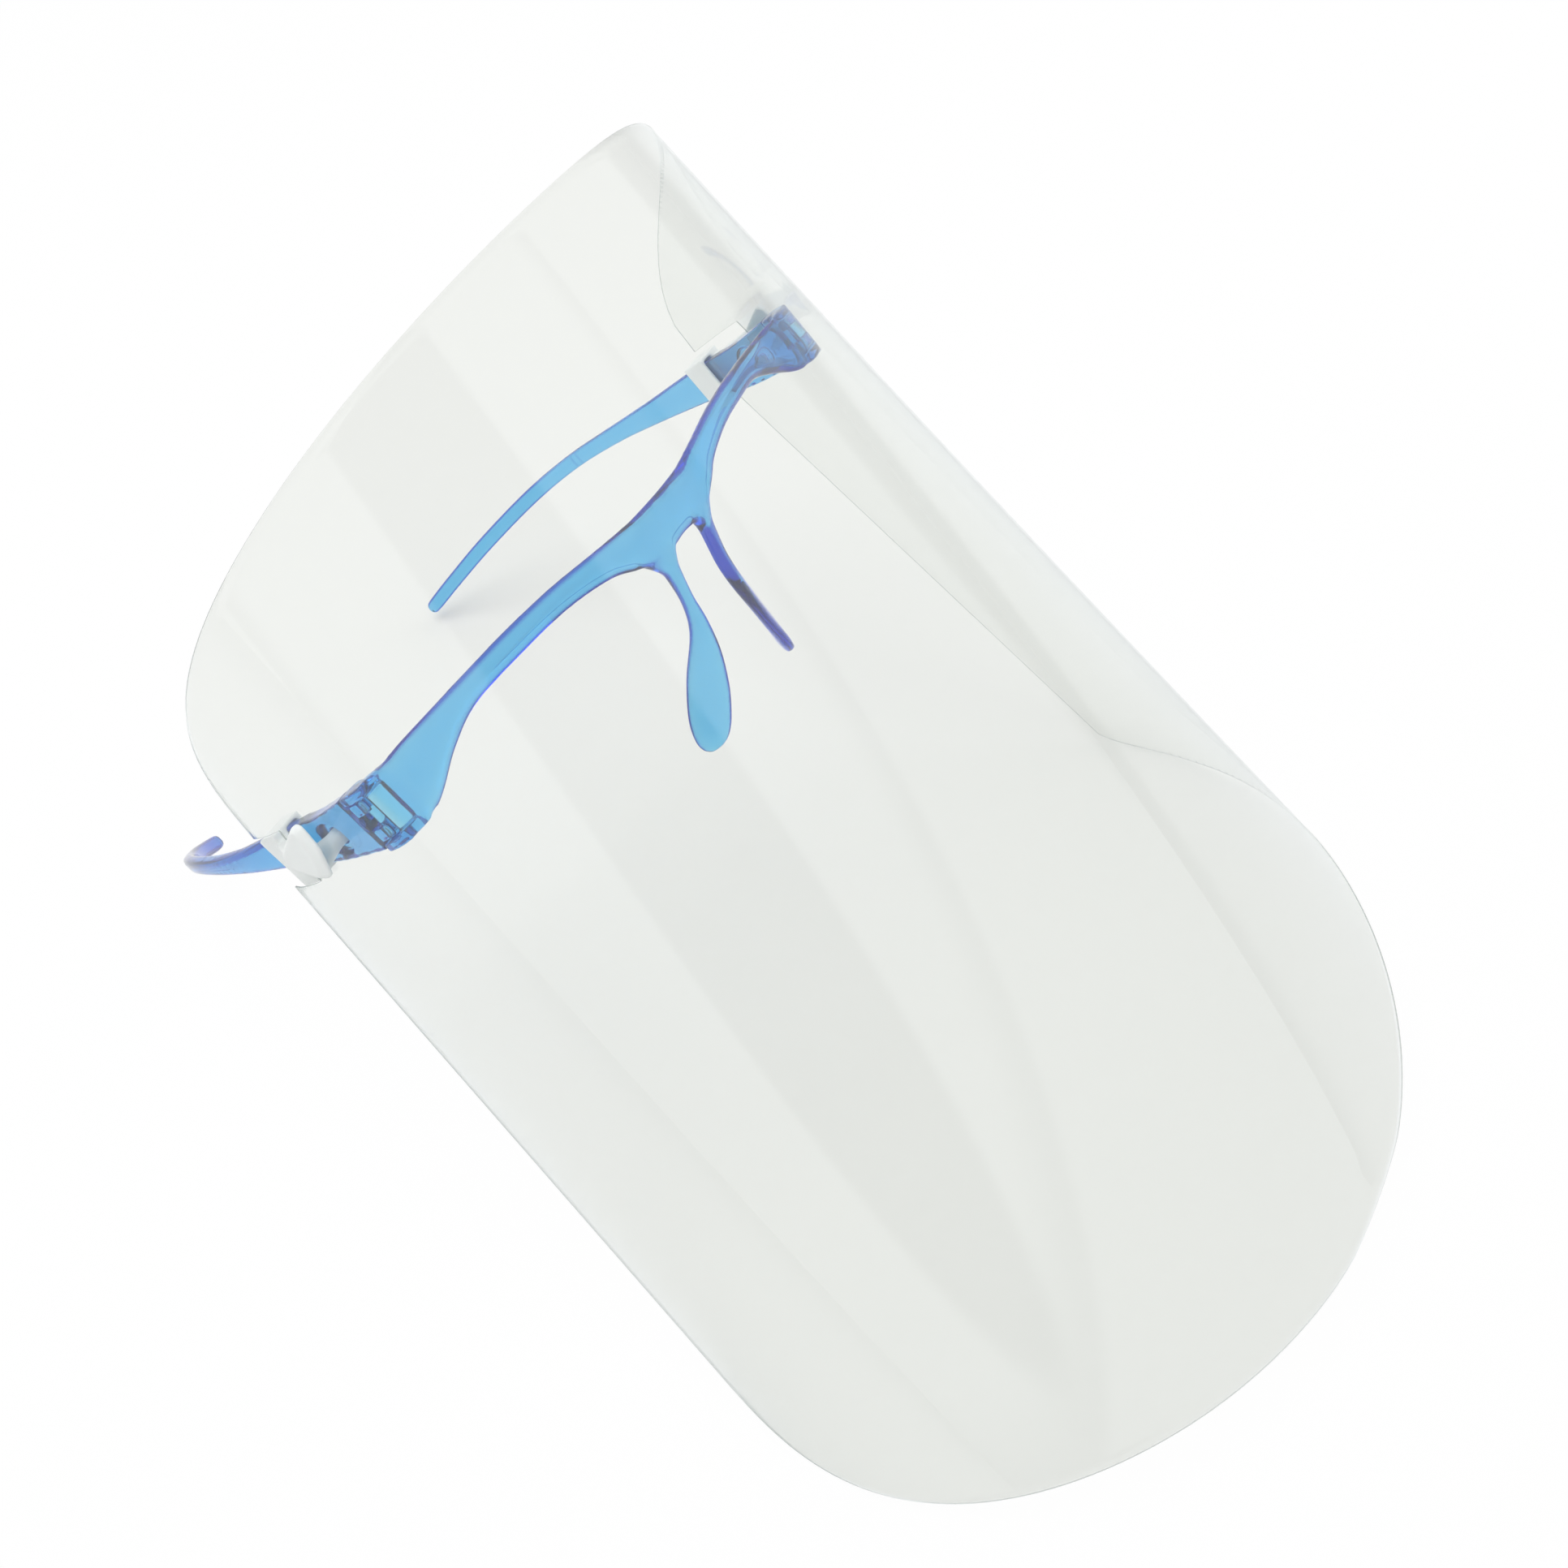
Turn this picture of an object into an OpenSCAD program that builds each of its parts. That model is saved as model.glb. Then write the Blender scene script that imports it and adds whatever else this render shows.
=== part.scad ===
// Visor on a lens-free spectacle frame.
// Millimetres. Origin midway between the two temple hinges, +X to the wearer's
// left, +Y towards the back of the head, +Z up.

/* [Brow bar] */
// Distance from the origin to each hinge pin, sideways
hinge_x = 68.0; // [67.6:0.1:68.4]
// How far the middle of the brow bar stands ahead of the hinges
bridge_reach = 20.8; // [19:0.2:24]
// Front-to-back thickness of the brow bar
bar_t = 2.8; // [2.2:0.1:3.2]
// Height of the brow bar between the bridge and the end pieces
bar_h = 4.5; // [3.6:0.1:5.5]

/* [Nose legs] */
// Half width of a nose pad at its widest
pad_half_w = 4.9; // [4:0.1:5.6]
// Height of the pad's widest place below the hinges
pad_drop = 31; // [28:0.5:34]
// Half thickness of a nose pad
pad_half_t = 1.2; // [0.9:0.1:1.5]

/* [Temples] */
// Outer face of a temple, from the middle
temple_x = 70.6; // [70.4:0.1:70.8]
// Thickness of the temple's arm
arm_t = 2.6; // [2.2:0.1:2.8]
// Tip of a temple, behind the hinges
tip_y = 121; // [105:1:121]
// How far the arm curves inward at its tip
arm_sweep = 28; // [20:0.5:29]

/* [Hinge] */
// Radius of the pin moulded into each end piece
pin_r = 1.0; // [0.9:0.05:1.1]
// Radial play between the pin and the knuckles
pin_play = 0.05; // [0.03:0.01:0.08]
// Radius of the knuckles
knuckle_r = 2.2; // [2:0.05:2.3]

/* [Clips] */
// Thickness of the rounded head that holds the visor
head_t = 1.7; // [1.4:0.1:2]
// Radius of the clip's stem where it enters the temple
stem_r = 1.6; // [1.4:0.1:1.8]
// Wall of the sleeve round the temple
sleeve_wall = 0.9; // [0.8:0.1:1.2]

/* [Visor] */
// Thickness of the clear sheet
film_t = 0.3; // [0.25:0.05:0.5]
// Top of the sheet above the hinges
film_top = 51; // [40:1:60]
// Bottom of the sheet below the hinges
film_drop = 187.5; // [150:0.5:200]
// Half width of the bent sheet at its widest, level with the hinges
film_half_w = 75.8; // [75.6:0.1:76]
// How far the sheet bulges ahead of its widest place
film_depth = 63.8; // [62:0.2:68]
// Sideways spread of the free lower part, per millimetre of drop
film_spread = 0.126; // [0.11:0.002:0.14]

/* [Hidden] */
$fn = 48;
blue = [0.36, 0.68, 0.88, 0.8];
white = [0.93, 0.95, 0.94];
clear = [0.90, 0.93, 0.91, 0.35];

hinge_y = -4.5;                  // hinge pin, front to back
joint_y = -2.6;                  // where end piece and temple butt together
joint_gap = 0.3;
lug_top = 5.3;                   // top and bottom of the end piece
lug_bottom = -6.4;
ear_t = 1.7;                     // thickness of the ears that carry the pin
pocket_top = lug_top - ear_t;
pocket_bottom = lug_bottom + ear_t;
knuckle_h = 2.5;                 // height of one knuckle
knuckle_gap = 0.2;               // play above and below the knuckles
swing_r = knuckle_r + 0.35;      // room swept by the knuckles and the ears
lug_front = -10.4;               // front wall of the end piece
lug_wall = 2.4;
fold_room = 2;                   // the folding temple's block reaches this far forward of the pin
arm_start = 17;                  // the thick front block of the temple ends here
block_in = temple_x - 3.2;       // inner face of that block
curve_y = 30;                    // the arm starts to curve inward here
sleeve_y = [18.6, 24.6];         // front and back of the clip's sleeve
sleeve_out = 73.4;               // outer face of the sleeve, level with the sheet
stem_y = 8.6;                    // centre of the stem and its recess
stem_z = -0.6;
head_y = 5.2;                    // centre of the head
head_z = 1.5;
head_x = 75.7;                   // inner face of the head
head_flat = 0.8;                 // thickness of its rim below the bevel
stem_wide_r = 2.5;               // radius of the stem where it meets the head
head_lean = 7.2;                 // the head lies flat on the spreading sheet
head_turn = 4.6;
recess_r = 3.4;                  // dished recess round the stem
recess_d = 1.2;
socket_d = 2.4;                  // depth of the stem's socket
film_wide_y = 12.3;              // the sheet is widest here, level with the hinges
film_lean = 0.02;                // and a little further forward lower down
film_depth_gain = 0.042;         // the bulge shrinks as the sheet spreads
film_soft = 0.039;               // flattens the section between front and side
film_wrap = 101.3;               // angle the section runs to on each side
film_corner_z = 5;               // the upper corner runs down to here
film_low_corner = 63;            // height of the lower corner's curve
film_cols = 48;
film_rows = 14;
slot_z = [-5.6, 6.8];            // slot in each side edge, round the sleeve
slot_y = 10.9;
key_r = 2.7;                     // round hole about the stem
key_mouth = 1.9;                 // half width of the way into it, narrower than the stem

// A smooth curve through the rows of a list, sampled between its ends.
function spline(p, i, t) =
    let (a = p[max(i - 1, 0)], b = p[i], c = p[i + 1], d = p[min(i + 2, len(p) - 1)])
    0.5 * (2 * b + t * (c - a) + t * t * (2 * a - 5 * b + 4 * c - d)
           + t * t * t * (3 * b - a - 3 * c + d));
function smooth_rows(p, n) =
    concat([for (i = [0 : len(p) - 2], k = [0 : n - 1]) spline(p, i, k / n)],
           [p[len(p) - 1]]);

// Row of a solid strip: centre x, y, z, half height, half thickness, turn about
// Z in degrees, lean. The ring is a squared oval with the given power.
function oval(a, p) = sign(a) * pow(abs(a), 2 / p);
function ring(row, upright, sides, p) =
    let (turn = [cos(row[5]), sin(row[5]), 0],
         out = [sin(row[5]), -cos(row[5]), 0],
         wide = upright ? [0, 0, 1] + row[6] * out : turn,
         thick = out)
    [for (k = [0 : sides - 1])
        let (a = 360 * k / sides)
        [row[0], row[1], row[2]] + row[3] * oval(cos(a), p) * wide
            + row[4] * oval(sin(a), p) * thick];

module strip(rows, upright, steps = 3, sides = 12, power = 3) {
    list = smooth_rows(rows, steps);
    n = len(list);
    points = [for (r = list) each ring(r, upright, sides, power)];
    function at(i, k) = i * sides + k % sides;
    walls = [for (i = [0 : n - 2], k = [0 : sides - 1])
        each [[at(i, k), at(i + 1, k + 1), at(i, k + 1)],
              [at(i, k), at(i + 1, k), at(i + 1, k + 1)]]];
    first = [for (k = [1 : sides - 2]) [at(0, 0), at(0, k), at(0, k + 1)]];
    last = [for (k = [1 : sides - 2]) [at(n - 1, 0), at(n - 1, k + 1), at(n - 1, k)]];
    polyhedron(points, concat(walls, first, last), convexity = 6);
}

// Left half of the brow bar, from the middle to the end piece.
module half_bar() {
    y0 = -bridge_reach - 3.4;
    h = bar_h / 2;
    t = bar_t / 2;
    strip([
        [0, y0, -0.8, 4.2, t, 0, 0.12],
        [7, y0 + 0.5, -0.9, 4.4, t, 5, 0.1],
        [12, y0 + 1.2, 0.3, 3.6, t, 9, 0],
        [17, y0 + 2.1, 1.8, 2.65, t, 12, -0.08],
        [26, y0 + 4.4, 3.2, h, t, 17, -0.1],
        [36, y0 + 7.8, 3.5, h, t, 22, -0.1],
        [46, y0 + 11.9, 3.1, h + 0.1, t, 20, -0.1],
        [53, y0 + 14.1, 1.8, 3.5, t, 14, -0.05],
        [59, y0 + 15.2, 0.2, 5.1, t, 8, 0],
        [65.5, y0 + 15.6, -0.5, 5.7, t, 4, 0]
    ], true);
}

// Left nose leg: a thin neck that turns and widens into a teardrop pad.
module nose_leg() {
    w = pad_half_w;
    t = pad_half_t;
    y0 = -bridge_reach;
    drop = pad_drop / 31;
    strip([
        [7.9, y0 - 2.8, -1, 4.1, 1.35, 6, 0],
        [6.9, y0 - 2.3, -4.5, 2.9, 1.35, 11, 0],
        [6.0, y0 - 0.8, -8.5, 1.5, 1.35, 22, 0],
        [5.9, y0 + 1.4, -14 * drop, 1.3, 1.35, 34, 0],
        [6.6, y0 + 3.3, -19 * drop, 2.1, 1.3, 43, 0],
        [8.9, y0 + 6.6, -25 * drop, w * 0.84, t, 47, 0],
        [11.2, y0 + 9.9, -pad_drop, w, t, 49, 0],
        [12.7, y0 + 12.2, -35.5 * drop, w * 0.82, t, 55, 0],
        [13.7, y0 + 13.7, -38.8 * drop, w * 0.34, t * 0.6, 58, 0]
    ], false);
}

// Left end piece seen from above: a rounded front corner, a straight outer side
// and a round ear about the pin. Inside the pin it keeps clear of the folding temple.
module end_piece_top_view() {
    corner = 5.5;
    centre = [temple_x - corner, lug_front + corner];
    difference() {
        union() {
            intersection() {
                translate(centre)
                circle(corner);
                translate([centre[0], lug_front])
                square(corner);
            }
            translate(centre)
            square([corner, joint_y - centre[1]]);
            translate([64, lug_front])
            square([centre[0] - 64, lug_wall]);
        }
        translate([60, hinge_y - fold_room])
        square([hinge_x - 60, 10]);
    }
    translate([hinge_x, hinge_y])
    circle(knuckle_r);
}

// Left end piece: two ears that carry the pin, joined by a wall in front.
module end_piece() {
    difference() {
        translate([0, 0, lug_bottom])
        linear_extrude(lug_top - lug_bottom)
        end_piece_top_view();
        translate([60, lug_front + lug_wall, pocket_bottom])
        cube([20, 20, pocket_top - pocket_bottom]);
    }
    translate([hinge_x, hinge_y, lug_bottom + 0.5])
    cylinder(h = lug_top - lug_bottom - 1, r = pin_r);
}

module both_sides() {
    children();
    mirror([1, 0, 0])
    children();
}

module brow_frame() {
    color(blue) both_sides() {
        half_bar();
        nose_leg();
        end_piece();
    }
}

// Side view of the temple: its top and bottom edges from front to tip.
edge_rows = [
    [joint_y + joint_gap, lug_top, lug_bottom + 0.5],
    [4, 4.7, -5.5],
    [10, 4.4, -5.0],
    [17, 4.6, -4.1],
    [26, 4.7, -2.9],
    [43, 4.5, -0.8],
    [57, 4.8, 0.8],
    [72, 5.3, 1.7],
    [87, 4.8, 1.2],
    [103, 3.0, -0.6],
    [114, 1.0, -2.5],
    [tip_y, -0.6, -3.9]
];
edge_list = smooth_rows(edge_rows, 4);

module temple_side_view() {
    tip_r = 2.05;
    polygon(concat(
        [for (r = edge_list) [r[0], r[1]]],
        [for (a = [60 : -30 : -120])
            let (last = edge_rows[len(edge_rows) - 1])
            [last[0] - 0.4 + tip_r * cos(a), (last[1] + last[2]) / 2 + tip_r * sin(a)]],
        [for (i = [len(edge_list) - 1 : -1 : 0]) [edge_list[i][0], edge_list[i][2]]]
    ));
}

// Outer and inner faces of the curved part of the arm, seen from above.
function arm_turn(share) = pow(share, 2.5);
function arm_edge(share, inward) =
    let (reach = tip_y - curve_y,
         slope = 2.5 * arm_sweep / reach * pow(share, 1.5),
         n = [1, slope] / norm([1, slope]))
    [temple_x - arm_sweep * arm_turn(share), curve_y + reach * share] - inward * n;

// Top view of the left temple: a block, a straight arm and an inward curve.
module temple_top_view() {
    curve_n = 16;
    tip_share = 1.04;
    difference() {
        union() {
            translate([block_in, joint_y + joint_gap])
            square([temple_x - block_in, arm_start - joint_y - joint_gap - 2]);
            polygon([[block_in, arm_start - 2], [temple_x, arm_start - 2],
                     [temple_x, arm_start + 1.5], [temple_x - arm_t, arm_start + 1.5]]);
            translate([temple_x - arm_t, arm_start])
            square([arm_t, curve_y - arm_start]);
            polygon(concat(
                [for (i = [0 : curve_n]) arm_edge(tip_share * i / curve_n, 0)],
                [for (i = [curve_n : -1 : 0]) arm_edge(tip_share * i / curve_n, arm_t)]
            ));
        }
        // room for the ears of the end piece
        translate([hinge_x, hinge_y])
        circle(swing_r);
    }
}

// Two hooks that snap round the pin, carried by a web from the block.
module knuckles() {
    low = pocket_bottom + knuckle_gap;
    high = pocket_top - knuckle_gap - knuckle_h;
    for (z = [low, high])
        translate([0, 0, z])
        difference() {
            union() {
                translate([hinge_x, hinge_y, 0])
                cylinder(h = knuckle_h, r = knuckle_r);
                translate([hinge_x - 1.6, hinge_y, 0])
                cube([temple_x - hinge_x + 1.2, joint_y - hinge_y + 1.6, knuckle_h]);
            }
            translate([hinge_x, hinge_y, -1])
            cylinder(h = knuckle_h + 2, r = pin_r + pin_play);
            // mouth of the hook
            translate([hinge_x - 0.75, hinge_y - knuckle_r - 1, -1])
            cube([1.5, knuckle_r + 1, knuckle_h + 2]);
        }
}

module left_temple_solid() {
    difference() {
        union() {
            intersection() {
                translate([30, 0, 0])
                rotate([90, 0, 90])
                linear_extrude(45)
                temple_side_view();
                translate([0, 0, -20])
                linear_extrude(40)
                temple_top_view();
            }
            knuckles();
        }
        // dished recess and socket for the clip's stem
        translate([temple_x - recess_d, stem_y, stem_z])
        rotate([0, 90, 0])
        cylinder(h = 5, r = recess_r);
        translate([temple_x - socket_d, stem_y, stem_z])
        rotate([0, 90, 0])
        cylinder(h = 5, r = stem_r + 0.03);
    }
}

module left_temple() {
    color(blue)
    left_temple_solid();
}

module right_temple() {
    color(blue)
    mirror([1, 0, 0])
    left_temple_solid();
}

// Puts a piece whose +Z faces outward on the inner face of the head.
module head_place() {
    translate([head_x, head_y, head_z])
    rotate([0, 90 - head_lean, -head_turn])
    children();
}

// Rounded triangle of the head, from front to back and upwards, drawn in by inset.
module head_outline(inset) {
    corners = [[-0.7, 3.7, 1.5], [1.0, 0.6, 3.3], [0.9, -3.7, 1.3], [5.2, 0.4, 2.5]];
    drawn_in = [[0.4, 0], [1, 0], [0.7, 0.3], [0, 0]];
    hull()
    for (i = [0 : 3])
        translate([corners[i][0], corners[i][1]] + inset * drawn_in[i])
        circle(corners[i][2] - inset * 0.5, $fn = 32);
}

// Clip: a sleeve on the arm, a sloping neck, a bevelled head and a tapered stem.
module left_clip_solid() {
    bore_z = [-4.25, 4.95];
    gap = 0.08;
    x0 = temple_x - arm_t - gap;
    x1 = temple_x + gap;
    depth = sleeve_y[1] - sleeve_y[0];
    difference() {
        translate([x0 - sleeve_wall, sleeve_y[0], bore_z[0] - sleeve_wall])
        cube([sleeve_out - x0 + sleeve_wall, depth, bore_z[1] - bore_z[0] + 2 * sleeve_wall]);
        translate([x0, sleeve_y[0] - 1, bore_z[0]])
        cube([x1 - x0, depth + 2, bore_z[1] - bore_z[0]]);
    }
    // neck between sleeve and head, passing out through the sheet's slot
    hull() {
        translate([x1 + 0.6, sleeve_y[0] - 1, -2.9])
        cube([sleeve_out - x1 - 0.7, 3, 6.9]);
        head_place()
        translate([-2.4, 5.7, 0])
        cube([4.4, 0.6, 1.3]);
    }
    // head with a bevelled front edge
    head_place()
    rotate([0, 0, 90])
    hull() {
        linear_extrude(head_flat)
        head_outline(0);
        linear_extrude(head_t)
        head_outline(1.2);
    }
    // stem, pressed into the socket of the temple
    translate([temple_x - socket_d, stem_y, stem_z])
    rotate([0, 90, 0]) {
        cylinder(h = socket_d + 0.4, r = stem_r);
        translate([0, 0, socket_d + 0.4])
        cylinder(h = head_x + 0.1 - temple_x, r1 = stem_r, r2 = stem_wide_r);
    }
}

module left_visor_clip() {
    color(white)
    left_clip_solid();
}

module right_visor_clip() {
    color(white)
    mirror([1, 0, 0])
    left_clip_solid();
}

// The bent sheet. The share runs from -1 at the right side edge to 1 at the left.
function film_point(share, z, push) =
    let (a = share * film_wrap,
         w = film_half_w - film_spread * z,
         d = film_depth + film_depth_gain * z,
         f = 1 - film_soft * pow(sin(2 * a), 2),
         x = w * sin(a) * f,
         y = film_wide_y + film_lean * z - d * cos(a) * f,
         n = [d * sin(a), -w * cos(a)])
    [x + push * n[0] / norm(n), y + push * n[1] / norm(n), z];
function corner(u, p) = 1 - pow(1 - pow(u, p), 1 / p);
function film_top_z(share) =
    film_top - (film_top - film_corner_z) * corner(abs(share), 2.115);
function film_low_z(share) =
    -film_drop + film_low_corner * corner(max(0, 1 - (1 - abs(share)) * 1.087), 1.33);

module film_sheet() {
    cols = film_cols;
    rows = film_rows;
    side = (cols + 1) * (rows + 1);
    points = [for (push = [0, film_t], i = [0 : cols], j = [0 : rows])
        let (share = 2 * i / cols - 1, low = film_low_z(share))
        film_point(share, low + (film_top_z(share) - low) * j / rows, push)];
    function at(s, i, j) = s * side + i * (rows + 1) + j;
    inner = [for (i = [0 : cols - 1], j = [0 : rows - 1])
        each [[at(0, i, j), at(0, i + 1, j + 1), at(0, i, j + 1)],
              [at(0, i, j), at(0, i + 1, j), at(0, i + 1, j + 1)]]];
    outer = [for (i = [0 : cols - 1], j = [0 : rows - 1])
        each [[at(1, i, j), at(1, i, j + 1), at(1, i + 1, j + 1)],
              [at(1, i, j), at(1, i + 1, j + 1), at(1, i + 1, j)]]];
    ends = [for (j = [0 : rows - 1])
        each [[at(0, 0, j), at(0, 0, j + 1), at(1, 0, j + 1), at(1, 0, j)],
              [at(0, cols, j), at(1, cols, j), at(1, cols, j + 1), at(0, cols, j + 1)]]];
    rims = [for (i = [0 : cols - 1])
        each [[at(0, i, 0), at(1, i, 0), at(1, i + 1, 0), at(0, i + 1, 0)],
              [at(0, i, rows), at(0, i + 1, rows), at(1, i + 1, rows), at(1, i, rows)]]];
    polyhedron(points, concat(inner, outer, ends, rims), convexity = 8);
}

module visor_film() {
    color(clear)
    difference() {
        film_sheet();
        both_sides() {
            translate([60, slot_y, slot_z[0]])
            cube([20, 40, slot_z[1] - slot_z[0]]);
            translate([60, stem_y, stem_z - key_mouth])
            cube([20, 40, 2 * key_mouth]);
            translate([60, stem_y, stem_z])
            rotate([0, 90, 0])
            cylinder(h = 20, r = key_r, $fn = 24);
        }
    }
}

brow_frame();
left_temple();
right_temple();
left_visor_clip();
right_visor_clip();
visor_film();
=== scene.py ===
"""Visor on a lens-free spectacle frame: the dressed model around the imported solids."""

import math

import bmesh
import bpy
from bpy.props import FloatProperty, FloatVectorProperty, IntProperty, PointerProperty
from mathutils import Matrix, Vector


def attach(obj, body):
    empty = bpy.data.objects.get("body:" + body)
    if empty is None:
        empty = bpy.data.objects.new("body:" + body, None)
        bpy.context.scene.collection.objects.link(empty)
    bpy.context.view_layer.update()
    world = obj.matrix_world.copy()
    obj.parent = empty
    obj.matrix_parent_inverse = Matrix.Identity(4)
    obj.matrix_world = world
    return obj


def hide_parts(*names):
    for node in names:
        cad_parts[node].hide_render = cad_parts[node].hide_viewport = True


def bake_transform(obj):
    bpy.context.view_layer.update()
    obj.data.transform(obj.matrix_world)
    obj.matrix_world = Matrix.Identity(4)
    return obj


bl_info = {
    "name": "Spectacle Visor",
    "version": (1, 0, 0),
    "blender": (4, 5, 0),
    "location": "View3D > Sidebar > Visor",
    "description": "Builds a clear visor sheet clipped to a translucent spectacle frame",
    "category": "Add Mesh",
}

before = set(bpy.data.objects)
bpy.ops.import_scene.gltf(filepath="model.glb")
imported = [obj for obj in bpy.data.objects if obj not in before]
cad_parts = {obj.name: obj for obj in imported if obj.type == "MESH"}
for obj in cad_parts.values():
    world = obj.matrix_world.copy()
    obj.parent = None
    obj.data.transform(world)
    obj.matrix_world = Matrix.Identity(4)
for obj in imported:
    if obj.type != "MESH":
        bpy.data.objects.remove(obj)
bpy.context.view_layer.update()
MM = 0.001
IMAGE = 1932  # pixels along each side of the full image

# Places and sizes in millimetres, the same as in the solids.
STEM_Y = 8.6  # centre of each clip's stem
STEM_Z = -0.6
SLOT_HIGH = 6.8  # top of the slot in each side edge of the sheet, and its blind end
SLOT_Y = 10.9
KEY_R = 2.7  # round hole about the stem, and half the width of the way into it
KEY_MOUTH = 1.9
ARM_T = 2.6  # thickness of an arm
ARM_OUT = 70.6  # outer face of an arm where it is straight
CURVE_Y = 30.0  # an arm curves inwards from here to its tip
TIP_Y = 121.0
SWEEP_IN = 28.0  # how far inwards the tip lies
SWEEP_POWER = 2.5
SHEET_TOP = 51.0  # top and bottom of the sheet in the middle
SHEET_LOW = -187.5
TOP_CORNER = 46.0  # height of the curve of the upper corners, and how square it is
TOP_POWER = 2.115
LOW_CORNER = 63.0  # the same for the lower corners, which leave a flat part in the middle
LOW_POWER = 1.33
LOW_REACH = 1.087
SHEET_HALF = 75.8  # half width of the sheet level with the hinges
SHEET_SPREAD = 0.126  # it spreads downwards, per millimetre
SHEET_DEPTH = 63.8  # how far it bulges forwards, which shrinks downwards
DEPTH_GAIN = 0.042
SHEET_SOFT = 0.039  # flattens the section between front and side
SHEET_WRAP = 101.3  # angle in degrees that the section runs to on each side
WIDE_Y = 12.3  # the sheet is widest here, and a little further forwards lower down
SHEET_LEAN = 0.02

# Places and sizes in millimetres of the finish, which the solids don't have.
SLOT_LOW = -3.7  # bottom of the slot, raised to show the sheet's lip below the sleeve
SCRIBED_Y = 70.0  # scribed line across each arm: its place, half width and soft edge
SCRIBED_HALF = 0.25
SCRIBED_SOFT = 0.5
BLOCK_X = 64.2  # the end piece is cut from the solid beyond here
WALL_X = 62.0  # its front wall is rounder beyond here and ahead of WALL_Y
WALL_Y = -8.3
ARM_CUT_Y = 21.5  # the solid's front block ends here, inside the sleeve
ARM_START_Y = 19.5  # the smooth arm starts here, inside that block
EASE_Y = 9.0  # the hinge end's skin is drawn in ahead of here
SEAM = 0.1  # a column of points stands this close to the sheet's middle line


# ---------------------------------------------------------------- settings


class VisorSheetSettings(bpy.types.PropertyGroup):
    thickness: FloatProperty(
        name="Thickness", description="Thickness of the clear sheet",
        default=0.3 * MM, unit="LENGTH")
    columns: IntProperty(
        name="Columns", description="Divisions across each half of the sheet", default=72)
    rows: IntProperty(
        name="Rows", description="Divisions from bottom to top", default=96)
    tint: FloatVectorProperty(
        name="Tint", description="Light that one thickness of the sheet lets through",
        subtype="COLOR", default=(0.955, 0.962, 0.948))
    haze: FloatProperty(
        name="Haze", description="Share of the sheet that scatters light", default=0.03)


class FrameSettings(bpy.types.PropertyGroup):
    voxel: FloatProperty(
        name="Moulding detail", description="Cell size used to fuse the moulded pieces",
        default=0.3 * MM, unit="LENGTH")
    rounding: IntProperty(
        name="Edge rounding", description="Smoothing passes that round the moulded edges",
        default=5)
    wall_rounding: IntProperty(
        name="End wall rounding", description="Extra passes on the front of the end pieces",
        default=30)
    hinge_play: FloatProperty(
        name="Hinge play", description="How far the hinge end's skin is drawn in",
        default=0.09 * MM, unit="LENGTH")
    blue: FloatVectorProperty(
        name="Blue", description="Colour of the translucent plastic",
        subtype="COLOR", default=(0.43, 0.8, 0.92))
    # Deeper blue painted as shade on the rounded edges and on faces seen aslant
    painted_edge_shade_blue: FloatVectorProperty(
        name="Edge blue", description="Deeper colour where light runs along the plastic",
        subtype="COLOR", default=(0.02, 0.06, 0.6))


class ClipSettings(bpy.types.PropertyGroup):
    voxel: FloatProperty(
        name="Moulding detail", description="Cell size used to fuse the clip",
        default=0.22 * MM, unit="LENGTH")
    rounding: IntProperty(
        name="Edge rounding", description="Smoothing passes that round the clip's edges",
        default=6)
    white: FloatVectorProperty(
        name="White", description="Colour of the clips",
        subtype="COLOR", default=(0.86, 0.89, 0.88))


class StageSettings(bpy.types.PropertyGroup):
    azimuth: FloatProperty(
        name="Camera azimuth", description="Turn of the camera about the visor",
        subtype="ANGLE", default=math.radians(-35.42))
    elevation: FloatProperty(
        name="Camera elevation", description="Height angle of the camera",
        subtype="ANGLE", default=math.radians(18.43))
    roll: FloatProperty(
        name="Camera roll", description="Turn of the camera about its own axis",
        subtype="ANGLE", default=math.radians(-42.72))
    distance: FloatProperty(
        name="Camera distance", description="From the camera to the origin's plane",
        default=321.54 * MM, unit="LENGTH")
    focal: FloatProperty(
        name="Focal length", description="In pixels of the full image", default=2199.93)
    centre_x: FloatProperty(
        name="Origin across", description="Where the origin lands, in pixels",
        default=729.98)
    centre_y: FloatProperty(
        name="Origin down", description="Where the origin lands, in pixels",
        default=681.66)
    world: FloatProperty(
        name="Sky light", description="Strength of the even light", default=0.62)
    backdrop: FloatVectorProperty(
        name="Backdrop", description="Tone of the backdrop behind the clear sheet",
        subtype="COLOR", default=(0.82, 0.838, 0.785))
    key: FloatProperty(
        name="Key light", description="Power of the large soft lamp in watts", default=5.0)


# ------------------------------------------------------------- mesh helpers


def new_piece(name, bm, body, slot, material, *nodes):
    """Turns a bmesh into a shaded object that rides on a body."""
    mesh = bpy.data.meshes.new(name)
    bm.to_mesh(mesh)
    bm.free()
    piece = bpy.data.objects.new(name, mesh)
    bpy.context.collection.objects.link(piece)
    for face in mesh.polygons:
        face.use_smooth = True
    mesh.materials.append(material)
    if body:
        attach(piece, body)
    if nodes:
        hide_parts(*nodes)
    return piece


def cad_copy(node):
    """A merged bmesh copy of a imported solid."""
    bm = bmesh.new()
    bm.from_mesh(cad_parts[node].data)
    bmesh.ops.remove_doubles(bm, verts=bm.verts, dist=1e-6)
    return bm


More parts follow.
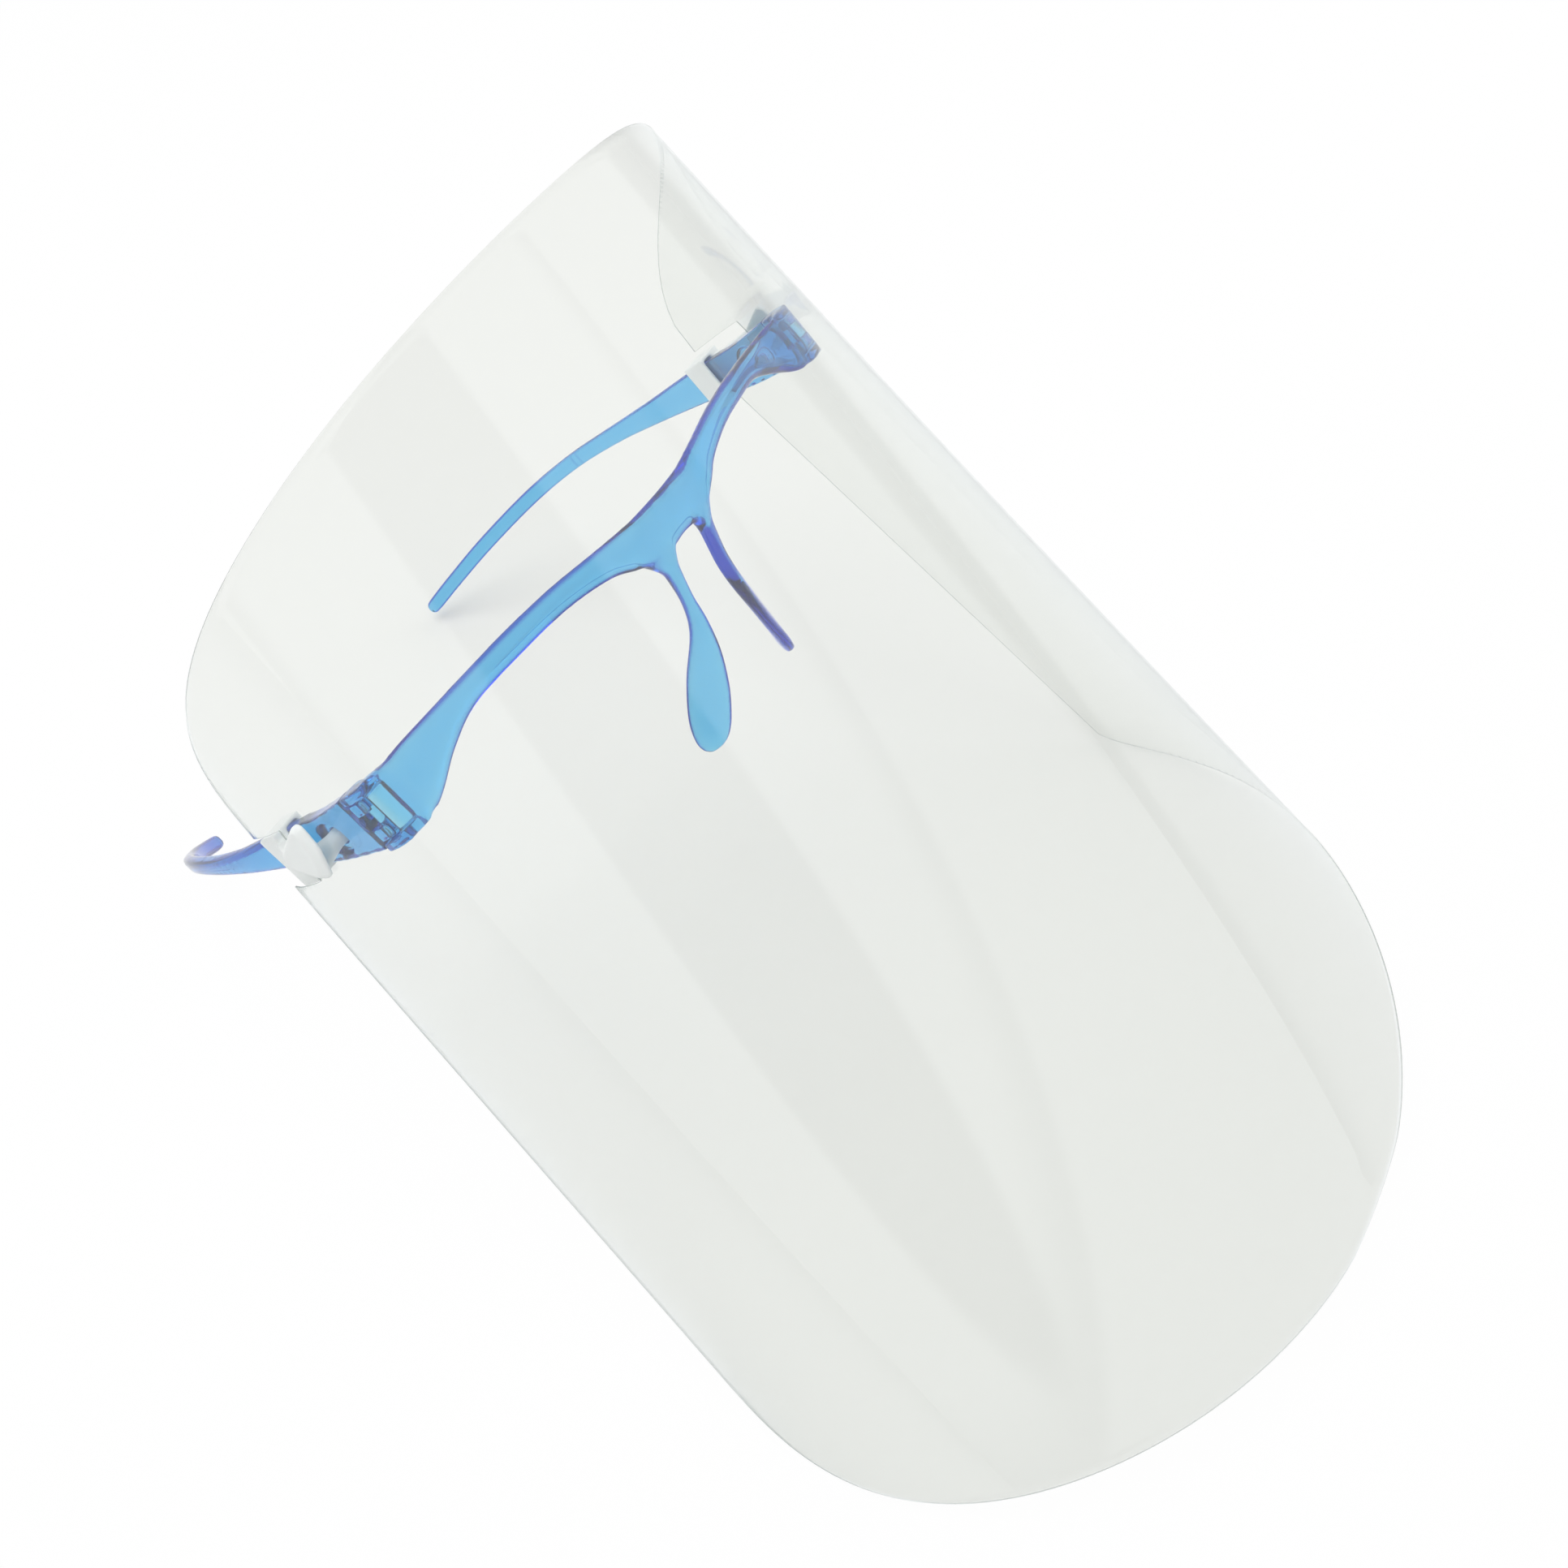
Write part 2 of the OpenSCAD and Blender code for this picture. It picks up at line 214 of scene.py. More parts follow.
def keep_side(bm, point, normal):
    """Cuts a closed solid by a plane, keeps what lies ahead of it and caps the cut."""
    geom = list(bm.verts) + list(bm.edges) + list(bm.faces)
    cut = bmesh.ops.bisect_plane(
        bm, geom=geom, dist=1e-7, plane_co=Vector(point) * MM,
        plane_no=Vector(normal), clear_inner=True)
    edges = [e for e in cut["geom_cut"] if isinstance(e, bmesh.types.BMEdge)]
    bmesh.ops.holes_fill(bm, edges=edges, sides=0)


def spline_rows(rows, steps):
    """Rows of numbers joined by a smooth curve, steps to a span."""
    out = []
    for i in range(len(rows) - 1):
        a, b = rows[max(i - 1, 0)], rows[i]
        c, d = rows[i + 1], rows[min(i + 2, len(rows) - 1)]
        for k in range(steps):
            t = k / steps
            out.append([
                0.5 * (2 * q + t * (r - p) + t * t * (2 * p - 5 * q + 4 * r - s)
                       + t ** 3 * (3 * q - p - 3 * r + s))
                for p, q, r, s in zip(a, b, c, d)])
    out.append(list(rows[-1]))
    return out


def squared(value, power):
    """Signed power that squares up a round section."""
    return math.copysign(abs(value) ** (2 / power), value)


def station(row, upright, sides, power):
    """Points of one squared oval: x, y, z, half height, half thickness, turn, lean."""
    x, y, z, half_h, half_t, turn, lean = row
    turn = math.radians(turn)
    out = Vector((math.sin(turn), -math.cos(turn), 0))
    wide = Vector((0, 0, 1)) + lean * out if upright else Vector(
        (math.cos(turn), math.sin(turn), 0))
    points = []
    for k in range(sides):
        a = 2 * math.pi * k / sides
        points.append((Vector((x, y, z)) + half_h * squared(math.cos(a), power) * wide
                       + half_t * squared(math.sin(a), power) * out) * MM)
    return points


def sweep(bm, rows, upright, steps=10, sides=36, power=3.0):
    """Extrudes a squared oval through a smooth run of stations."""
    stations = [station(r, upright, sides, power) for r in spline_rows(rows, steps)]
    made = bmesh.ops.create_circle(bm, cap_ends=True, segments=sides, radius=MM)
    ring = made["verts"]
    face = ring[0].link_faces[0]
    ring = [loop.vert for loop in face.loops]
    for vert, place in zip(ring, stations[0]):
        vert.co = place
    first = face
    for places in stations[1:]:
        grown = bmesh.ops.extrude_face_region(bm, geom=[face], use_keep_orig=face is first)
        face = next(g for g in grown["geom"] if isinstance(g, bmesh.types.BMFace))
        ring = [loop.vert for loop in face.loops]
        for vert, place in zip(ring, places):
            vert.co = place


def mirrored(bm):
    """Adds the mirror image of everything across the middle plane."""
    geom = list(bm.verts) + list(bm.edges) + list(bm.faces)
    twin = bmesh.ops.duplicate(bm, geom=geom)
    verts = [g for g in twin["geom"] if isinstance(g, bmesh.types.BMVert)]
    faces = [g for g in twin["geom"] if isinstance(g, bmesh.types.BMFace)]
    bmesh.ops.scale(bm, vec=(-1, 1, 1), verts=verts)
    bmesh.ops.reverse_faces(bm, faces=faces)


def fused(bm, voxel, rounding):
    """Fuses overlapping closed shells into one moulding with softly rounded edges."""
    mesh = bpy.data.meshes.new("moulding")
    bm.to_mesh(mesh)
    bm.free()
    shell = bpy.data.objects.new("moulding", mesh)
    bpy.context.collection.objects.link(shell)
    remesh = shell.modifiers.new("Fuse", "REMESH")
    remesh.mode = "VOXEL"
    remesh.voxel_size = voxel
    graph = bpy.context.evaluated_depsgraph_get()
    graph.update()
    result = bmesh.new()
    result.from_object(shell, graph)
    bpy.data.objects.remove(shell)
    bpy.data.meshes.remove(mesh)
    for _ in range(rounding):
        bmesh.ops.smooth_vert(result, verts=result.verts, factor=0.5,
                              use_axis_x=True, use_axis_y=True, use_axis_z=True)
    return result


# ---------------------------------------------------------------- materials


def material_tree(name):
    """An empty node material, its tree and its output node."""
    material = bpy.data.materials.new(name)
    material.use_nodes = True
    tree = material.node_tree
    tree.nodes.clear()
    output = tree.nodes.new("ShaderNodeOutputMaterial")
    return material, tree, output


def math_node(tree, operation, *values):
    """A math node fed with numbers or with other nodes' outputs."""
    node = tree.nodes.new("ShaderNodeMath")
    node.operation = operation
    for socket, value in zip(node.inputs, values):
        if isinstance(value, (int, float)):
            socket.default_value = value
        else:
            tree.links.new(value, socket)
    return node.outputs[0]


def soft_step(tree, value, low, high):
    """Runs smoothly from 0 at low to 1 at high."""
    node = tree.nodes.new("ShaderNodeMapRange")
    node.interpolation_type = "SMOOTHSTEP"
    node.inputs["From Min"].default_value = low
    node.inputs["From Max"].default_value = high
    tree.links.new(value, node.inputs["Value"])
    return node.outputs["Result"]


def mixed_colour(tree, share, first, second):
    """A colour that goes from the first to the second with the share."""
    node = tree.nodes.new("ShaderNodeMix")
    node.data_type = "RGBA"
    node.inputs["A"].default_value = (*first, 1)
    node.inputs["B"].default_value = (*second, 1)
    tree.links.new(share, node.inputs["Factor"])
    return node.outputs["Result"]


def surface_wear_group():
    """A group that gives uneven gloss and a faint moulded ripple."""
    name = "Surface wear"
    if name in bpy.data.node_groups:
        return bpy.data.node_groups[name]
    group = bpy.data.node_groups.new(name, "ShaderNodeTree")
    face = group.interface
    face.new_socket("Scale", in_out="INPUT", socket_type="NodeSocketFloat").default_value = 60.0
    face.new_socket("Low", in_out="INPUT", socket_type="NodeSocketFloat").default_value = 0.02
    face.new_socket("High", in_out="INPUT", socket_type="NodeSocketFloat").default_value = 0.12
    face.new_socket("Roughness", in_out="OUTPUT", socket_type="NodeSocketFloat")
    face.new_socket("Height", in_out="OUTPUT", socket_type="NodeSocketFloat")
    nodes, links = group.nodes, group.links
    start = nodes.new("NodeGroupInput")
    end = nodes.new("NodeGroupOutput")
    place = nodes.new("ShaderNodeTexCoord")
    mottle = nodes.new("ShaderNodeTexNoise")
    mottle.inputs["Detail"].default_value = 3.0
    spread = nodes.new("ShaderNodeMapRange")
    spread.inputs["From Min"].default_value = 0.3
    spread.inputs["From Max"].default_value = 0.75
    links.new(place.outputs["Object"], mottle.inputs["Vector"])
    links.new(start.outputs["Scale"], mottle.inputs["Scale"])
    links.new(mottle.outputs["Fac"], spread.inputs["Value"])
    links.new(start.outputs["Low"], spread.inputs["To Min"])
    links.new(start.outputs["High"], spread.inputs["To Max"])
    links.new(spread.outputs["Result"], end.inputs["Roughness"])
    links.new(mottle.outputs["Fac"], end.inputs["Height"])
    return group


def wear(tree, scale, low, high):
    """The surface wear group with its grain size and its range of roughness."""
    node = tree.nodes.new("ShaderNodeGroup")
    node.node_tree = surface_wear_group()
    node.inputs["Scale"].default_value = scale
    node.inputs["Low"].default_value = low
    node.inputs["High"].default_value = high
    return node


# The nose legs turn as they come down: height in millimetres and turn in degrees at the
# upper and lower end of that stretch, and the heights between which a leg takes over.
LEG_TURNS = ((-6, 15), (-28, 50))
LEG_FROM = (-8, -5)

# Where painted shade deepens the blue: from the first value to the second of how far a skin
# turns away from its flat, or of how far aslant it is seen. Beyond END_PIECE_X it deepens less.
ROUNDING_SHADE = (0.28, 0.75)
ASLANT_SHADE = (0.45, 0.8)
SCRIBED_TONE = 0.8
END_PIECE_X = (60, 65)
END_PIECE_LESS_SHADE = 0.6


def painted_edge_shade_mask(tree, place, split):
    """1 on the rounded long edges of the bar, arms and nose legs, 0 on their flats: the painted
    shade's mask.
    """
    normal = tree.nodes.new("ShaderNodeSeparateXYZ")
    tree.links.new(place.outputs["Normal"], normal.inputs[0])
    nx, ny, nz = normal.outputs
    x, y, z = split.outputs
    bar = math_node(tree, "ABSOLUTE", nz)
    turn = tree.nodes.new("ShaderNodeMapRange")
    for end, (height, degrees) in zip(("Min", "Max"), LEG_TURNS):
        turn.inputs[f"From {end}"].default_value = height * MM
        turn.inputs[f"To {end}"].default_value = math.radians(degrees)
    tree.links.new(z, turn.inputs["Value"])
    across = math_node(tree, "MULTIPLY", math_node(tree, "MULTIPLY", nx, math_node(
        tree, "SIGN", x)), math_node(tree, "COSINE", turn.outputs["Result"]))
    along = math_node(tree, "MULTIPLY", ny, math_node(
        tree, "SINE", turn.outputs["Result"]))
    leg = math_node(tree, "ABSOLUTE", math_node(tree, "ADD", across, along))
    low = math_node(tree, "SUBTRACT", 1, soft_step(tree, z, *[h * MM for h in LEG_FROM]))
    chosen = tree.nodes.new("ShaderNodeMix")
    tree.links.new(low, chosen.inputs["Factor"])
    tree.links.new(bar, chosen.inputs["A"])
    tree.links.new(leg, chosen.inputs["B"])
    return soft_step(tree, chosen.outputs["Result"], *ROUNDING_SHADE)


def blue_plastic(settings):
    """Clear blue plastic that absorbs light inside; deeper blue is painted on as shade at its
    edges.
    """
    name = "Translucent blue plastic"
    if name in bpy.data.materials:
        return bpy.data.materials[name]
    material, tree, output = material_tree(name)
    glass = tree.nodes.new("ShaderNodeBsdfPrincipled")
    glass.inputs["Transmission Weight"].default_value = 0.94
    glass.inputs["IOR"].default_value = 1.49
    marks = wear(tree, 90.0, 0.0, 0.05)
    bump = tree.nodes.new("ShaderNodeBump")
    bump.inputs["Strength"].default_value = 0.05
    bump.inputs["Distance"].default_value = 0.2 * MM
    facing = tree.nodes.new("ShaderNodeLayerWeight")
    facing.inputs["Blend"].default_value = 0.5
    place = tree.nodes.new("ShaderNodeTexCoord")
    split = tree.nodes.new("ShaderNodeSeparateXYZ")
    tree.links.new(place.outputs["Object"], split.inputs[0])
    rounded = painted_edge_shade_mask(tree, place, split)
    from_line = math_node(tree, "ABSOLUTE", math_node(
        tree, "SUBTRACT", split.outputs[1], SCRIBED_Y * MM))
    line = math_node(tree, "SUBTRACT", SCRIBED_TONE, soft_step(
        tree, from_line, SCRIBED_HALF * MM, SCRIBED_SOFT * MM))
    # Painted edge shade, also where the plastic is seen aslant, joined with the scribed line
    edge_shade_and_scribed_line = math_node(tree, "MAXIMUM", math_node(tree, "MAXIMUM", rounded, line),
                    soft_step(tree, facing.outputs["Facing"], *ASLANT_SHADE))
    outward = soft_step(tree, math_node(tree, "ABSOLUTE", split.outputs[0]),
                        *[x * MM for x in END_PIECE_X])
    # Less painted shade on the end pieces; the blue is then painted deeper by this share
    share = math_node(tree, "MULTIPLY", edge_shade_and_scribed_line, math_node(
        tree, "MULTIPLY_ADD", outward, -END_PIECE_LESS_SHADE, 1.0))
    tone = mixed_colour(tree, share, settings.blue, settings.painted_edge_shade_blue)
    depth = tree.nodes.new("ShaderNodeVolumeAbsorption")
    depth.inputs["Color"].default_value = (0.0, 0.7, 0.95, 1)
    depth.inputs["Density"].default_value = 520.0
    links = tree.links
    links.new(tone, glass.inputs["Base Color"])
    links.new(marks.outputs["Roughness"], glass.inputs["Roughness"])
    links.new(marks.outputs["Height"], bump.inputs["Height"])
    links.new(bump.outputs["Normal"], glass.inputs["Normal"])
    links.new(glass.outputs[0], output.inputs["Surface"])
    links.new(depth.outputs[0], output.inputs["Volume"])
    return material


def white_plastic(settings):
    """Satin white moulded plastic."""
    name = "Satin white plastic"
    if name in bpy.data.materials:
        return bpy.data.materials[name]
    material, tree, output = material_tree(name)
    shell = tree.nodes.new("ShaderNodeBsdfPrincipled")
    shell.inputs["Subsurface Weight"].default_value = 0.15
    shell.inputs["Subsurface Radius"].default_value = (0.9, 1.0, 0.9)
    shell.inputs["Subsurface Scale"].default_value = 1.2 * MM
    marks = wear(tree, 160.0, 0.28, 0.42)
    tone = mixed_colour(tree, marks.outputs["Height"], settings.white,
                        [0.93 * c for c in settings.white])
    bump = tree.nodes.new("ShaderNodeBump")
    bump.inputs["Strength"].default_value = 0.12
    bump.inputs["Distance"].default_value = 0.1 * MM
    tree.links.new(tone, shell.inputs["Base Color"])
    tree.links.new(marks.outputs["Roughness"], shell.inputs["Roughness"])
    tree.links.new(marks.outputs["Height"], bump.inputs["Height"])
    tree.links.new(bump.outputs["Normal"], shell.inputs["Normal"])
    tree.links.new(shell.outputs[0], output.inputs["Surface"])
    return material


SHEET_IOR = 1.45


def clear_sheet(settings):
    """Clear glossy sheet with a faint green-grey tint and a little haze."""
    name = "Clear sheet"
    if name in bpy.data.materials:
        return bpy.data.materials[name]
    material, tree, output = material_tree(name)
    through = tree.nodes.new("ShaderNodeBsdfTransparent")
    through.inputs["Color"].default_value = (*[c ** 0.5 for c in settings.tint], 1)
    mirror = tree.nodes.new("ShaderNodeBsdfGlossy")
    mirror.inputs["Color"].default_value = (0.95, 0.97, 0.97, 1)
    marks = wear(tree, 22.0, 0.005, 0.03)
    film = tree.nodes.new("ShaderNodeBsdfDiffuse")
    film.inputs["Color"].default_value = (0.86, 0.89, 0.87, 1)
    fresnel = tree.nodes.new("ShaderNodeFresnel")
    side = tree.nodes.new("ShaderNodeNewGeometry")
    index = tree.nodes.new("ShaderNodeMapRange")
    index.inputs["To Min"].default_value = SHEET_IOR
    index.inputs["To Max"].default_value = 1 / SHEET_IOR
    tree.links.new(side.outputs["Backfacing"], index.inputs["Value"])
    tree.links.new(index.outputs["Result"], fresnel.inputs["IOR"])
    dusty = tree.nodes.new("ShaderNodeMixShader")
    dusty.inputs["Fac"].default_value = settings.haze
    glossy = tree.nodes.new("ShaderNodeMixShader")
    links = tree.links
    links.new(marks.outputs["Roughness"], mirror.inputs["Roughness"])
    links.new(through.outputs[0], dusty.inputs[1])
    links.new(film.outputs[0], dusty.inputs[2])
    links.new(fresnel.outputs[0], glossy.inputs["Fac"])
    links.new(dusty.outputs[0], glossy.inputs[1])
    links.new(mirror.outputs[0], glossy.inputs[2])
    links.new(glossy.outputs[0], output.inputs["Surface"])
    return material


def sheet_edge_painted_shade(settings):
    """Cut edge of the sheet, darker than its faces: grey painted on as shade."""
    name = "Cut sheet edge"
    if name in bpy.data.materials:
        return bpy.data.materials[name]
    material, tree, output = material_tree(name)
    # A dimmer see-through share and a grey share paint shade along the cut edge
    through = tree.nodes.new("ShaderNodeBsdfTransparent")
    through.inputs["Color"].default_value = (0.72, 0.76, 0.74, 1)
    edge = tree.nodes.new("ShaderNodeBsdfPrincipled")
    edge.inputs["Base Color"].default_value = (0.42, 0.47, 0.45, 1)
    marks = wear(tree, 140.0, 0.2, 0.4)
    mix = tree.nodes.new("ShaderNodeMixShader")
    mix.inputs["Fac"].default_value = 0.6
    tree.links.new(marks.outputs["Roughness"], edge.inputs["Roughness"])
    tree.links.new(through.outputs[0], mix.inputs[1])
    tree.links.new(edge.outputs[0], mix.inputs[2])
    tree.links.new(mix.outputs[0], output.inputs["Surface"])
    return material


# -------------------------------------------------------------- the pieces


# Stations of half the brow bar and of one nose leg: x, y, z, half height (half width
# for the leg), half thickness, turn in degrees and lean.
BAR_ROWS = [
    [-3.0, -24.1, -0.8, 4.2, 1.4, -2, 0.12],
    [0, -24.2, -0.8, 4.2, 1.4, 0, 0.12],
    [7, -23.7, -0.9, 4.4, 1.4, 5, 0.1],
    [12, -23.0, 0.3, 3.6, 1.4, 9, 0],
    [17, -22.1, 1.8, 2.65, 1.4, 12, -0.08],
    [26, -19.8, 3.2, 2.25, 1.4, 17, -0.1],
    [36, -16.4, 3.5, 2.25, 1.4, 22, -0.1],
    [46, -12.3, 3.1, 2.35, 1.4, 20, -0.1],
    [53, -10.1, 1.8, 3.5, 1.4, 14, -0.05],
    [59, -9.0, 0.2, 5.1, 1.4, 8, 0],
    [62, -8.8, -0.4, 5.6, 1.4, 6, 0],
    [64.7, -8.65, -0.55, 5.85, 1.35, 4, 0],
]
LEG_ROWS = [
    [8.1, -23.5, 0.0, 5.6, 1.35, 5, 0],
    [7.1, -23.4, -2.2, 5.0, 1.35, 7, 0],
    [6.4, -23.1, -4.3, 3.9, 1.35, 10, 0],
    [6.3, -22.7, -5.7, 2.75, 1.35, 14, 0],
    [6.1, -22.2, -7.0, 2.0, 1.35, 18, 0],
    [6.0, -21.6, -8.5, 1.55, 1.35, 22, 0],
    [5.9, -19.4, -14.0, 1.3, 1.35, 34, 0],
    [6.6, -17.5, -19.0, 2.1, 1.3, 43, 0],
    [8.9, -14.2, -25.0, 4.12, 1.2, 47, 0],
    [11.2, -10.9, -31.0, 4.9, 1.2, 49, 0],
    [12.6, -8.7, -35.2, 4.35, 1.2, 54, 0],
    [13.2, -7.8, -37.3, 3.4, 1.05, 56, 0],
    [13.5, -7.4, -38.4, 2.2, 0.9, 57, 0],
    [13.7, -7.1, -38.9, 0.9, 0.6, 58, 0],
]


class VISOR_OT_brow_frame(bpy.types.Operator):
    """Fuse the brow bar, nose legs and hinge blocks into one moulded frame"""

    bl_idname = "visor.brow_frame"
    bl_label = "Brow frame"

    def execute(self, context):
        settings = context.scene.visor_frame
        bm = bmesh.new()
        sweep(bm, BAR_ROWS, True, power=2.6)
        sweep(bm, LEG_ROWS, False, sides=32)
        block = cad_copy("brow_frame")
        keep_side(block, (BLOCK_X, 0, 0), (1, 0, 0))
        part = bpy.data.meshes.new("block")
        block.to_mesh(part)
        block.free()
        bm.from_mesh(part)
        bpy.data.meshes.remove(part)
        mirrored(bm)
        moulding = fused(bm, settings.voxel, settings.rounding)
        wall = [v for v in moulding.verts
                if abs(v.co.x) > WALL_X * MM and v.co.y < WALL_Y * MM]
        for _ in range(settings.wall_rounding):
            bmesh.ops.smooth_vert(moulding, verts=wall, factor=0.5,
                                  use_axis_x=True, use_axis_y=True, use_axis_z=True)
        new_piece("brow_frame_moulding", moulding, "frame", "blue_plastic",
                  blue_plastic(settings), "brow_frame")
        return {"FINISHED"}


# Side view of an arm: distance back, top edge and bottom edge.
EDGE_ROWS = [
    [4, 4.7, -5.5], [10, 4.4, -5.0], [17, 4.6, -4.1], [26, 4.7, -2.9], [43, 4.5, -0.8],
    [57, 4.8, 0.8], [72, 5.3, 1.7], [87, 4.8, 1.2], [103, 3.0, -0.6], [114, 1.0, -2.5],
    [121, -0.6, -3.9], [122.2, -1.25, -3.4],
]


def arm_rows(sign):
    """Stations along one temple's arm, from inside the clip's sleeve to the tip."""
    rows = []
    for y, top, bottom in spline_rows(EDGE_ROWS, 5):
        if y < ARM_START_Y:
            continue
        share = max(0.0, (y - CURVE_Y) / (TIP_Y - CURVE_Y))
        slope = SWEEP_POWER * SWEEP_IN / (TIP_Y - CURVE_Y) * share ** (SWEEP_POWER - 1)
        turn = math.atan(slope)
        rows.append([
            sign * (ARM_OUT - SWEEP_IN * share ** SWEEP_POWER - ARM_T / 2 * math.cos(turn)),
            y - ARM_T / 2 * math.sin(turn), (top + bottom) / 2, (top - bottom) / 2,
            ARM_T / 2, sign * (90 + math.degrees(turn)), 0])
    # A last and smaller station rounds the tip.
    last = rows[-1]
    rows.append([last[0] - sign * 0.2, last[1] + 0.25, last[2], 0.5, 0.7, last[5], 0])
    return rows


def ease_hinge(bm, play):
    """Draws the hinge end's skin in a little, so that rounded corners don't rub."""
    bm.normal_update()
    for vert in bm.verts:
        share = min(max((EASE_Y * MM - vert.co.y) / (EASE_Y * MM), 0.0), 1.0)
        vert.co -= vert.normal * play * share


class VISOR_OT_temples(bpy.types.Operator):
    """Round the edges of the two temples with their knuckles and stem recesses"""

    bl_idname = "visor.temples"
    bl_label = "Temples"

    def execute(self, context):
        settings = context.scene.visor_frame
        for side, sign in (("left", 1), ("right", -1)):
            bm = cad_copy(f"{side}_temple")
            keep_side(bm, (0, ARM_CUT_Y, 0), (0, -1, 0))
            sweep(bm, arm_rows(sign), True, steps=3, power=3.6)
            bmesh.ops.recalc_face_normals(bm, faces=bm.faces)
            moulding = fused(bm, settings.voxel, settings.rounding)
            ease_hinge(moulding, settings.hinge_play)
            new_piece(f"{side}_temple_moulding", moulding, f"{side}_temple",
                      "blue_plastic", blue_plastic(settings), f"{side}_temple")
        return {"FINISHED"}


class VISOR_OT_clips(bpy.types.Operator):
    """Round the white clips that hold the visor"""

    bl_idname = "visor.clips"
    bl_label = "Visor clips"

    def execute(self, context):
        settings = context.scene.visor_clip
        for side in ("left", "right"):
            bm = cad_copy(f"{side}_visor_clip")
            moulding = fused(bm, settings.voxel, settings.rounding)
            new_piece(f"{side}_visor_clip_moulding", moulding, f"{side}_temple",
                      "white_plastic", white_plastic(settings), f"{side}_visor_clip")
        return {"FINISHED"}


def corner(share, power):
    """Height of a rounded corner, 0 at the middle and 1 at the side edge."""
    return 1 - (1 - min(share, 1.0) ** power) ** (1 / power)


def sheet_top(share):
    """Height of the sheet's top edge, in millimetres."""
    return SHEET_TOP - TOP_CORNER * corner(abs(share), TOP_POWER)


def sheet_low(share):
    """Height of the sheet's bottom edge, in millimetres."""
    return SHEET_LOW + LOW_CORNER * corner(
        max(0.0, 1 - (1 - abs(share)) * LOW_REACH), LOW_POWER)


def sheet_point(share, z):
    """A point on the inner face of the bent sheet, in millimetres."""
    a = math.radians(SHEET_WRAP * share)
    wide = SHEET_HALF - SHEET_SPREAD * z
    deep = SHEET_DEPTH + DEPTH_GAIN * z
    soft = 1 - SHEET_SOFT * math.sin(2 * a) ** 2
    return Vector((wide * math.sin(a) * soft,
                   WIDE_Y + SHEET_LEAN * z - deep * math.cos(a) * soft, z))


def cut_slots(bm, reach=12.0, sides=16):
    """Cuts the slot round the sleeve and the keyhole round the stem on the +X edge."""
    def near():
        faces = [f for f in bm.faces
                 if f.calc_center_median().y > 0
                 and abs(f.calc_center_median().z) < reach * MM]
        return faces + list({e for f in faces for e in f.edges}) + list(
            {v for f in faces for v in f.verts})

    planes = [((0, 0, SLOT_LOW), (0, 0, 1)), ((0, 0, SLOT_HIGH), (0, 0, 1)),
              ((0, 0, STEM_Z - KEY_MOUTH), (0, 0, 1)), ((0, 0, STEM_Z + KEY_MOUTH), (0, 0, 1)),
              ((0, SLOT_Y, 0), (0, 1, 0))]
    for k in range(sides):
        a = 2 * math.pi * (k + 0.5) / sides
        n = (0, math.cos(a), math.sin(a))
        planes.append(((0, STEM_Y + KEY_R * n[1], STEM_Z + KEY_R * n[2]), n))
    for point, normal in planes:
        bmesh.ops.bisect_plane(bm, geom=near(), dist=1e-7,
                               plane_co=Vector(point) * MM, plane_no=Vector(normal))
    gone = []
    for face in bm.faces:
        c = face.calc_center_median() / MM
        in_slot = c.y > SLOT_Y and SLOT_LOW < c.z < SLOT_HIGH
        in_mouth = c.y > STEM_Y and abs(c.z - STEM_Z) < KEY_MOUTH
        in_hole = math.hypot(c.y - STEM_Y, c.z - STEM_Z) < KEY_R
        if in_slot or in_mouth or in_hole:
            gone.append(face)
    bmesh.ops.delete(bm, geom=gone, context="FACES")


def bent_sheet(settings):
    """The whole bent sheet as one thin solid, its cut edge in the second material."""
    bm = bmesh.new()
    bmesh.ops.create_grid(bm, x_segments=settings.columns, y_segments=settings.rows,
                          size=0.5)
    for vert in bm.verts:
        share, up = vert.co.x + 0.5, vert.co.y + 0.5
        low = sheet_low(share)
        vert.co = sheet_point(share, low + (sheet_top(share) - low) * up) * MM
    cut_slots(bm)
    geom = list(bm.verts) + list(bm.edges) + list(bm.faces)
    bmesh.ops.bisect_plane(bm, geom=geom, dist=1e-7, plane_co=(SEAM * MM, 0, 0),
                           plane_no=(1, 0, 0))
    mirrored(bm)
    bmesh.ops.remove_doubles(bm, verts=bm.verts, dist=1e-7)
    bmesh.ops.recalc_face_normals(bm, faces=bm.faces)
    front = min(bm.faces, key=lambda f: f.calc_center_median().y)
    if front.normal.y > 0:
        bmesh.ops.reverse_faces(bm, faces=bm.faces)
    for face in bm.faces:
        face.smooth = True
    mesh = bpy.data.meshes.new("sheet")
    bm.to_mesh(mesh)
    bm.free()
    whole = bpy.data.objects.new("sheet", mesh)
    bpy.context.collection.objects.link(whole)
    mesh.materials.append(clear_sheet(settings))
    mesh.materials.append(sheet_edge_painted_shade(settings))
    solid = whole.modifiers.new("Thickness", "SOLIDIFY")
    solid.thickness = settings.thickness
    solid.offset = 1.0
    solid.material_offset_rim = 1
    graph = bpy.context.evaluated_depsgraph_get()
    graph.update()
    result = bmesh.new()
    result.from_object(whole, graph)
    bpy.data.objects.remove(whole)
    bpy.data.meshes.remove(mesh)
    return result


